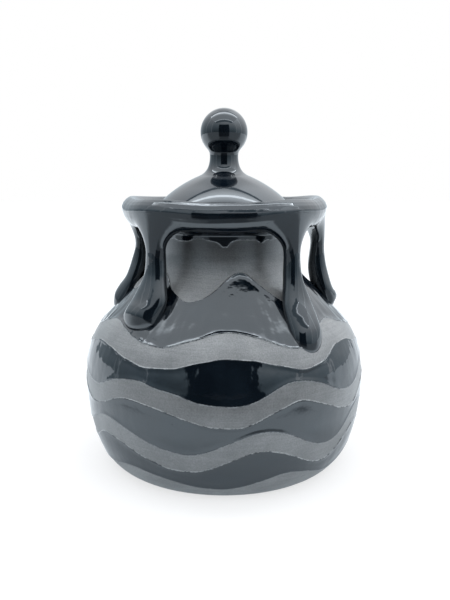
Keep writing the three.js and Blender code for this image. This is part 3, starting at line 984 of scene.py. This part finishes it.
def drip_stations(drip, outline):
    """Rows of azimuth, radius, height, half width, outer depth and inner depth along a drip, from the lip
    down the shaft and out over the shoulder to the tip. The foot is nearly half round outside and shallow
    inside."""
    rim, shaft, stem, bulb = drip["rim"], drip["shaft"], drip["stem"], drip["bulb"]
    top = LIP_RING + LOBE_REACH + drip["brow"]
    under = LIP_HEIGHT - LIP_RADIUS
    base = shoulder_height(outline, shaft)
    bend, middle, ankle = (base + (under - base) * share for share in SHAFT_SHARES)
    rows = [
        (rim, top, LIP_HEIGHT + RUN_RISE, *RUN_OVAL),
        (rim, top, under, *RUN_OVAL),
        (rim, shaft + (top - shaft) / 3, bend, *BEND_OVAL),
        (rim, shaft, middle, stem, drip["thick"], drip["thick"]),
        (rim, shaft + ANKLE_OUT, ankle, stem + ANKLE_SWELL * (bulb - stem), ANKLE_DEPTH, drip["inner"]),
    ]
    for share, swell, depth, inner, lift in FOOT_RUN:
        radius = shaft + (drip["reach"] - shaft) * share
        rows.append((
            rim + (drip["foot"] - rim) * share,
            radius + lift * math.sin(SHOULDER_SLOPE),
            shoulder_height(outline, radius) + lift * math.cos(SHOULDER_SLOPE),
            stem + (bulb - stem) * swell,
            depth * bulb,
            inner,
        ))
    return np.array(rows)


def drip_shaft(path, sizes):
    """Rings of ovals across a smooth path, and the path's direction at the first. An oval is level across,
    and its outer and inner half have depths of their own. Towards the tip width and depths round off as
    sqrt(1 - x^2), the outer depth from further back."""
    t = ROOT_SHARE + (1 - ROOT_SHARE) * np.sin(np.linspace(0, math.pi / 2, SHAFT_RINGS + 1)[:-1])
    centre = smooth_path(path, t)
    tangent = unit(smooth_path(path, np.minimum(t + SLOPE_STEP, 1)) - smooth_path(path, t - SLOPE_STEP))
    near = np.minimum((1 - t)[:, None] / TIP_SHARES, 1)
    size = smooth_path(sizes, t) * np.sqrt(1 - (1 - near) ** 2)
    width, outer, inner = size.T[:, :, None, None]
    outward = unit(centre * [1, 1, 0])
    across = np.stack([-outward[:, 1], outward[:, 0], 0 * outward[:, 0]], 1)
    deep = unit(np.cross(across, tangent))
    deep *= np.sign(np.einsum("ij,ij->i", deep, outward))[:, None]
    turn = all_round(DRIP_SIDES)[:, :, None]
    depth = np.where(np.sin(turn) > 0, outer, inner)
    rings = centre[:, None] + width * across[:, None] * np.cos(turn) + depth * deep[:, None] * np.sin(turn)
    return rings, tangent[0]


def drip_root(drip, collar, end, heading):
    """A core point inside the lip, and the rings round it: two that turn in under the collar's skin, then a
    cubic blend of places and slopes from an oval on the collar, tangent to it, to the oval end, where it
    goes on along heading."""
    rim = math.radians(drip["rim"])
    half = math.radians(drip["web"])
    turn = all_round(DRIP_SIDES)[0]
    middle = lengths(collar)[np.argmin(np.hypot(*(collar - ROOT_MIDDLE).T))]
    reach = np.where(np.sin(turn) > 0, ROOT_UP, ROOT_DOWN * drip["web"] / USUAL_WEB) * np.sin(turn)

    def footprint(share):
        return collar_place(collar, rim + share * half * np.cos(turn), middle + share * reach)

    start = footprint(1.0)
    start_slope = (footprint(1.0 - ROOT_STEP) - start) / ROOT_STEP
    leave = (ROOT_LEAVE - ROOT_LEAVE_BELOW * np.maximum(-np.sin(turn), 0))[None, :, None]
    land = heading * np.linalg.norm(start.mean(0) - end.mean(0)) * ROOT_LAND
    u = np.linspace(0, 1, ROOT_RINGS + 1)[:-1, None, None]
    blend = (
        (2 * u**3 - 3 * u**2 + 1) * start
        + (u**3 - 2 * u**2 + u) * start_slope * leave
        + (3 * u**2 - 2 * u**3) * end
        + (u**3 - u**2) * land
    )
    surface = collar_place(collar, rim, middle)
    inwards = CORE_RADIUS / np.hypot(*surface[:2])
    core = surface * [inwards, inwards, 1.0]
    skirt = footprint(ROOT_SKIRT)
    buried = [skirt + (core - skirt) * share for share in ROOT_BURIED]
    return core, np.concatenate([buried, blend])


def build_drip(name, drip, outline, collar, material):
    """A drip as rings, from the core in the lip over its root and shaft to the tip."""
    rows = drip_stations(drip, outline)
    path = ring_points(rows[:, 1], np.radians(rows[:, 0]), rows[:, 2])
    shaft, heading = drip_shaft(path, rows[:, 3:6])
    core, root = drip_root(drip, collar, shaft[0], heading)
    rings = np.concatenate([root, shaft])
    piece = skin(name + "_glazed", "jar", material, rings, [core, path[-1]])
    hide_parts(name)


def build_drips(material):
    """The five drips, from the collar's outline down to the body's."""
    outline, collar = body_outline(), collar_outline()
    for name, drip in DRIPS.items():
        build_drip(name, drip, outline, collar, material)


# Lid

def build_dome(material, slope):
    """The dome turned from its outline: under one wall inside the cubic of its top, round the edge, up that
    cubic, and on along the slope at its top to run under the knob."""
    edge, top = np.array(DOME_EDGE), np.array(DOME_TOP)
    dome = cubic(edge, edge + DOME_SIDE, top + DOME_CROWN, top, STEPS["dome"])
    under = dome - DOME_WALL * sideways(dome)
    under = under[(under[:, 0] > STEM[0]) & (under[:, 0] < FLANGE_INNER)]
    tucked = top - slope * DOME_TUCK[0] - [0.0, DOME_TUCK[1]]
    side = softened([
        (LID_INNER, LID_BASE), (LID_RADIUS, LID_BASE), (LID_RADIUS, DOME_EDGE[1] - LID_SIDE),
        dome[DOME_EDGE_STEPS],
    ], EDGE_ROUNDING, STEPS["lid_edge"])
    outline = chain(
        (0.0, DOME_HOLLOW), under[::-1], (FLANGE_INNER, LID_BASE), side[:-1],
        dome[DOME_EDGE_STEPS + 1:], tucked, (0.0, tucked[1]),
    )
    lid = turned("lid_dome_glazed", "lid", material, outline, DOME_COLUMNS)
    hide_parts("lid_dome")


def build_flange(material):
    """The locating flange: a rounded rectangle turned round the axis."""
    ring = softened([
        (FLANGE_MIDDLE, FLANGE_TOP), (FLANGE_RADIUS, FLANGE_TOP), (FLANGE_RADIUS, FLANGE_BASE),
        (FLANGE_INNER, FLANGE_BASE), (FLANGE_INNER, FLANGE_TOP), (FLANGE_MIDDLE, FLANGE_TOP),
    ], EDGE_ROUNDING, STEPS["flange_edge"])[:-1]
    flange = turned(
        "lid_locating_flange_glazed", "lid", material, ring, FLANGE_COLUMNS, loop=True,
    )
    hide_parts("lid_locating_flange")


def build_knob(material, slope):
    """The knob turned from its outline: a skirt on the dome, a cubic up to the stem's waist, a short cubic
    out to the ball, and the ball as an arc up to the axis."""
    foot, stem = np.array(DOME_TOP), np.array(STEM)
    ball = arc((0.0, BALL_HEIGHT), BALL_RADIUS, BALL_NECK, 90, STEPS["ball"])
    neck = math.radians(BALL_NECK)
    before_ball = ball[0] - BALL_EASE * np.array([-math.sin(neck), math.cos(neck)])
    waist = cubic(foot, foot - slope * STEM_SWEEP, stem - [0.0, STEM_EASE], stem, STEPS["stem"])
    flare = cubic(stem, stem + [0.0, STEM_RISE], before_ball, ball[0], STEPS["ball_foot"])
    outline = chain(
        (0.0, foot[1] - KNOB_BASE), foot + slope * KNOB_SKIRT[0] - [0.0, KNOB_SKIRT[1]], waist, flare,
        ball[:-1], (0.0, BALL_HEIGHT + BALL_RADIUS),
    )
    knob = turned("lid_knob_glazed", "lid", material, outline, KNOB_COLUMNS)
    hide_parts("lid_knob")


def build_lid(material):
    """Dome, flange and knob. The knob stands on the dome along the dome's slope at its top."""
    slope = np.array(DOME_CROWN) / np.linalg.norm(DOME_CROWN)
    build_dome(material, slope)
    build_flange(material)
    build_knob(material, slope)


# Floor

# In metres. Its colour and glow differ for the camera and for reflections. In reflections and bounced
# light its brightness goes by the place: a ring round the jar, the far floor on the camera's side, a
# patch straight ahead and a dark sector beyond it.
FLOOR_HALF = 3.0
FLOOR_SEEN = (0.32, 0.68)
FLOOR_MIRRORED = (0.45, 0.46)
FLOOR_TINT = (0.88, 1.0, 1.1, 1)
FLOOR_RING = (0.095, 0.13, 0.92, 1.2)
FAR_AWAY = (0.165, 0.21)
FAR_FRONT = (0.08, -0.12)
FAR_SHADE = 0.46
AHEAD_ASIDE = (0.17, 0.1)
AHEAD_FRONT = (-0.2, -0.25)
AHEAD_AWAY = (0.6, 0.4)
AHEAD_SHADE = 0.22
SECTOR_ASIDE = (0.55, 0.42)
SECTOR_AWAY = (0.34, 0.46)
SECTOR_SHADE = 0.05
WHITE = (1, 1, 1, 1)
LEAST_FORWARDS = 0.01


def aside_share(tree, x, y):
    """How far a place or direction lies aside, as a share of how far it lies on the camera's side."""
    forwards = math_node(tree, "MAXIMUM", times(tree, y, -1.0), LEAST_FORWARDS)
    return math_node(tree, "DIVIDE", math_node(tree, "ABSOLUTE", x), forwards)


def floor_shade(tree):
    """The floor's brightness in reflections and bounced light, by place."""
    place = object_place(tree)
    x, y, _ = parts_of(tree, place)
    aside = math_node(tree, "ABSOLUTE", x)
    away = add(tree, "ShaderNodeVectorMath", {0: place}, operation="LENGTH").outputs["Value"]
    far = times(tree, ease(tree, away, *FAR_AWAY), ease(tree, y, *FAR_FRONT))
    ahead = times(
        tree, ease(tree, aside, *AHEAD_ASIDE), ease(tree, y, *AHEAD_FRONT), ease(tree, away, *AHEAD_AWAY),
    )
    sector = ease(tree, aside_share(tree, x, y), *SECTOR_ASIDE)
    sector = times(tree, sector, ease(tree, away, *SECTOR_AWAY))
    shade = ease(tree, away, *FLOOR_RING)
    for share, there in ((far, FAR_SHADE), (ahead, AHEAD_SHADE), (sector, SECTOR_SHADE)):
        shade = between(tree, share, shade, there)
    return shade


def build_floor():
    """A plain pale floor. To the camera its lit colour is lifted to white, and the shadow stays."""
    mesh = bpy.data.meshes.new("floor")
    corners = [(x * FLOOR_HALF, y * FLOOR_HALF, 0) for x, y in ((-1, -1), (1, -1), (1, 1), (-1, 1))]
    mesh.from_pydata(corners, [], [(0, 1, 2, 3)])
    floor = new_object("floor", mesh)
    material, tree = new_material("pale floor")
    seen = add(tree, "ShaderNodeLightPath").outputs["Is Camera Ray"]
    shade = floor_shade(tree)
    tone, glow = (
        between(tree, seen, times(tree, shade, mirrored), plain)
        for mirrored, plain in zip(FLOOR_MIRRORED, FLOOR_SEEN)
    )
    paint = add(tree, "ShaderNodeBsdfDiffuse", {"Color": tone})
    tint = between(tree, seen, FLOOR_TINT, WHITE, "RGBA")
    lift = add(tree, "ShaderNodeEmission", {"Color": tint, "Strength": glow})
    both = add(tree, "ShaderNodeAddShader", {0: paint.outputs[0], 1: lift.outputs[0]})
    add(tree, "ShaderNodeOutputMaterial", {"Surface": both.outputs[0]})
    mesh.materials.append(material)


# Tent, by direction

# Facing is 1 for a level direction to the back wall and -1 for one to the camera. A wall has brightnesses
# at its foot and its head, each for the camera's end and for the sides. The ceiling is flat: places on it
# are ahead, y / z, and aside, x / z, and a patch of it has a span ahead with its softness, and an edge
# aside.
SIDES_FACING = (-0.72, -0.22)
BACK_FACING = (0.0, 0.8)
WALL_FOOT = (0.3, 0.55)
WALL_HEAD = (1.9, 2.4)
BACK_GAIN = 0.2
WALL_POWER = 1.3
RIGHT_GAIN = (0.27, 1.04)
MIDDLE_FACING = (0.86, 0.97)
MIDDLE_HEIGHT = (0.5, 0.7)
MIDDLE_SHARE = 0.72
FOLD_FACING = (0.1, 0.15, 0.01)
FOLD_GAIN = 0.7
FLAP = ((-0.95, -0.66, 0.03), (0.95, 0.85))
FLAP_SHADE = 0.5
SEAM = ((0.38, 0.46, 0.015), (1.0, 0.9))
SEAM_SHADE = 0.5
CEILING = ((-0.66, 0.38, 0.015), (1.0, 0.97))
CEILING_GLOW = (2.2, 1.6)
CEILING_SPREAD = 0.27
STRIP_BEND = 0.25
STRIP_AHEAD = 0.17
BACK_STRIP = (0.04, 0.024)
BACK_STRIP_ASIDE = (0.88, 0.86)
BACK_STRIP_GLOW = (0.8, 0.82, 7.5, 14.0)
FRONT_STRIP = ((-0.61, -0.57, 0.01), (0.94, 0.92))
FRONT_STRIP_GLOW = (0.86, 0.88, 5.0, 14.0)
STRIP_HEIGHT = 0.02
POLE_ASIDE = (1.95, 2.15, 0.05)
POLE_HEIGHT = (0.7, 0.64)
POLE_FRONT = (0.0, -0.1)
POLE_GLOW = 0.6
OPENING_ASIDE = (0.52, 0.46)
OPENING_HEIGHT = (0.56, 0.52)
OPENING_FRONT = (-0.3, -0.4)
OPENING_SHADE = 0.03
TENT_TINTS = ((0.82, 1.0, 1.12, 1), (0.97, 1.0, 1.04, 1))
TINT_SPAN = (0.3, 1.4)
LEAST_UP = 0.001
LEAST_LEVEL = 0.0001


def tent_walls(tree, x, y, z, up):
    """Walls that get brighter towards the top, most at the sides, and towards the right. The middle of the
    back is dimmer high up, and a fold of each side wall is brighter."""
    square = math_node(tree, "MAXIMUM", line(tree, times(tree, z, z), -1.0, 1.0), LEAST_LEVEL)
    level = math_node(tree, "SQRT", square)
    facing = math_node(tree, "DIVIDE", y, level)
    sides = ease(tree, facing, *SIDES_FACING)
    back = ease(tree, facing, *BACK_FACING)
    foot = line(tree, back, BACK_GAIN, between(tree, sides, *WALL_FOOT))
    head = line(tree, back, -BACK_GAIN, between(tree, sides, *WALL_HEAD))
    wall = between(tree, math_node(tree, "POWER", up, WALL_POWER), foot, head)
    wall = times(tree, wall, line(tree, math_node(tree, "DIVIDE", x, level), *RIGHT_GAIN))
    middle = times(tree, ease(tree, facing, *MIDDLE_FACING), ease(tree, z, *MIDDLE_HEIGHT))
    wall = between(tree, middle, wall, times(tree, wall, MIDDLE_SHARE))
    return line(tree, times(tree, within(tree, facing, *FOLD_FACING), wall), FOLD_GAIN, wall)


def tent_ceiling(tree, wall, x, y, z, up):
    """The ceiling over the walls: a flap in front, a seam at the back, and a panel that glows towards its
    bent strip, ahead = STRIP_AHEAD + STRIP_BEND aside^2. Both light strips are brightest at their ends."""
    aside = math_node(tree, "ABSOLUTE", math_node(tree, "DIVIDE", x, up))
    ahead = math_node(tree, "DIVIDE", y, up)

    def patch(span, edge):
        return times(tree, within(tree, ahead, *span), ease(tree, aside, *edge))

    from_strip = line(tree, times(tree, aside, aside), -STRIP_BEND, plus(tree, ahead, -STRIP_AHEAD))
    from_strip = math_node(tree, "ABSOLUTE", from_strip)
    glow = line(tree, ease(tree, from_strip, CEILING_SPREAD, 0.0), *CEILING_GLOW)
    above = math_node(tree, "GREATER_THAN", z, STRIP_HEIGHT)
    front_strip = times(tree, patch(*FRONT_STRIP), above)
    back_strip = times(tree, ease(tree, from_strip, *BACK_STRIP), ease(tree, aside, *BACK_STRIP_ASIDE), above)
    for share, there in (
        (patch(*FLAP), FLAP_SHADE),
        (patch(*SEAM), SEAM_SHADE),
        (patch(*CEILING), glow),
        (front_strip, ease(tree, aside, *FRONT_STRIP_GLOW)),
        (back_strip, ease(tree, aside, *BACK_STRIP_GLOW)),
    ):
        wall = between(tree, share, wall, there)
    return wall


def tent_front(tree, wall, x, y, z):
    """The poles beside the open front, brighter than the wall, and the dark opening itself."""
    aside = aside_share(tree, x, y)
    pole = times(
        tree, within(tree, aside, *POLE_ASIDE), ease(tree, z, *POLE_HEIGHT), ease(tree, y, *POLE_FRONT),
    )
    opening = ease(tree, aside, *OPENING_ASIDE)
    opening = times(tree, opening, ease(tree, z, *OPENING_HEIGHT), ease(tree, y, *OPENING_FRONT))
    return between(tree, opening, line(tree, pole, POLE_GLOW, wall), OPENING_SHADE)


def build_world():
    """A white tent with an open front, by direction, cooler where it is dim. The camera sees plain white."""
    world = bpy.data.worlds.new("surround")
    bpy.context.scene.world = world
    world.use_nodes = True
    tree = world.node_tree
    tree.nodes.clear()
    x, y, z = parts_of(tree, add(tree, "ShaderNodeTexCoord").outputs["Generated"])
    up = math_node(tree, "MAXIMUM", z, LEAST_UP)
    wall = tent_walls(tree, x, y, z, up)
    wall = tent_ceiling(tree, wall, x, y, z, up)
    wall = tent_front(tree, wall, x, y, z)
    tint = between(tree, ease(tree, wall, *TINT_SPAN), *TENT_TINTS, "RGBA")
    around = add(tree, "ShaderNodeBackground", {"Color": scaled(tree, tint, wall), "Strength": 1.0})
    plain = add(tree, "ShaderNodeBackground", {"Color": WHITE, "Strength": 1.0})
    seen = add(tree, "ShaderNodeLightPath").outputs["Is Camera Ray"]
    mix = add(tree, "ShaderNodeMixShader", {0: seen, 1: around.outputs[0], 2: plain.outputs[0]})
    add(tree, "ShaderNodeOutputWorld", {"Surface": mix.outputs[0]})


glaze_skin = glaze_skin_group()
etched_grain = etched_grain_group()
banded = banded_material("etched and gloss bands")
poured = gloss_material("poured black glaze", gloss=0.045, ripple=0.35, wobble=0.0002)
thrown = gloss_material("thrown black glaze", gloss=0.035, ripple=0.15, wobble=0.00006)

build_camera()
build_body(banded)
build_collar(banded)
build_drips(poured)
build_lid(thrown)
build_floor()
build_world()
